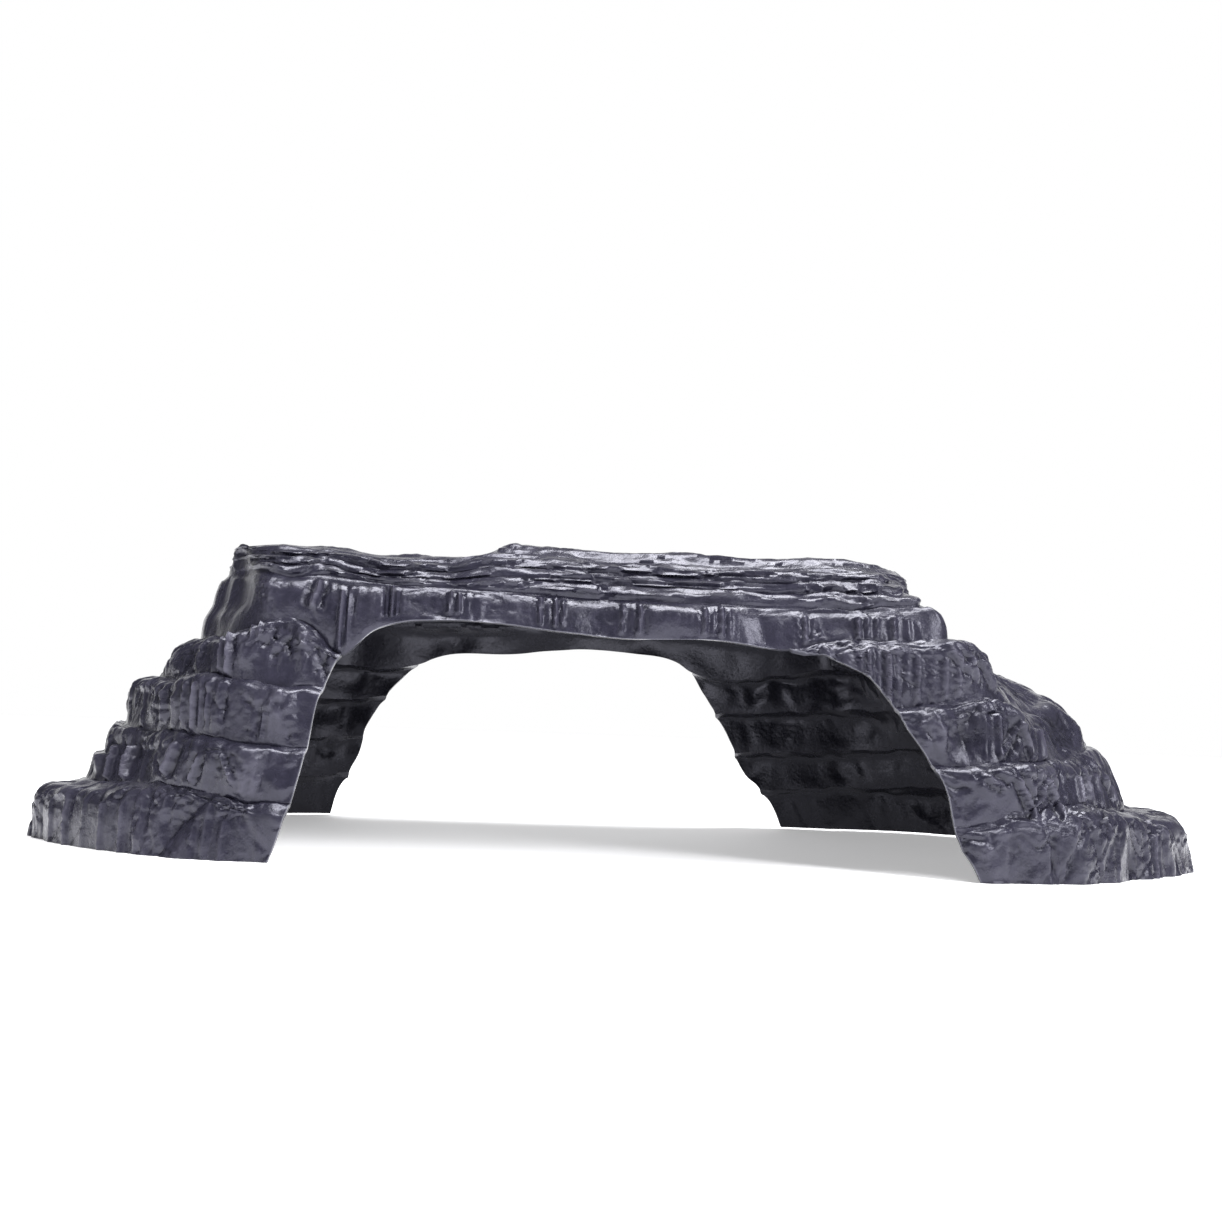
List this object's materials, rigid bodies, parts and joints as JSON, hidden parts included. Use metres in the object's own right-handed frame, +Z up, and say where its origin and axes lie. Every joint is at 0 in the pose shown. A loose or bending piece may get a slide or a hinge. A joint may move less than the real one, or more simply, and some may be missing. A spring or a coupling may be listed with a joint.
{
  "type": "aquarium cave ornament",
  "caption": "Low stepped rock bridge moulded in thin dark plastic, open underneath, with a wide tunnel through it and a level deck on top.",
  "frame": {"origin": "middle of the footprint, on the surface that the ornament stands on", "axes": "+X along the bridge towards the gentler staircase, +Y through the tunnel from the front mouth to the rear one, +Z up"},
  "size_m": [0.3027, 0.151, 0.075],
  "materials": {
    "moulded_rock": "satin slate grey with a faint violet cast"
  },
  "bodies": {
    "root": {"left_base_step": "moulded_rock", "left_second_step": "moulded_rock", "left_third_step": "moulded_rock", "left_shoulder_step": "moulded_rock", "right_base_step": "moulded_rock", "right_second_step": "moulded_rock", "right_third_step": "moulded_rock", "right_shoulder_step": "moulded_rock", "bridge_ring": "moulded_rock", "bridge_deck": "moulded_rock"}
  },
  "joints": []
}
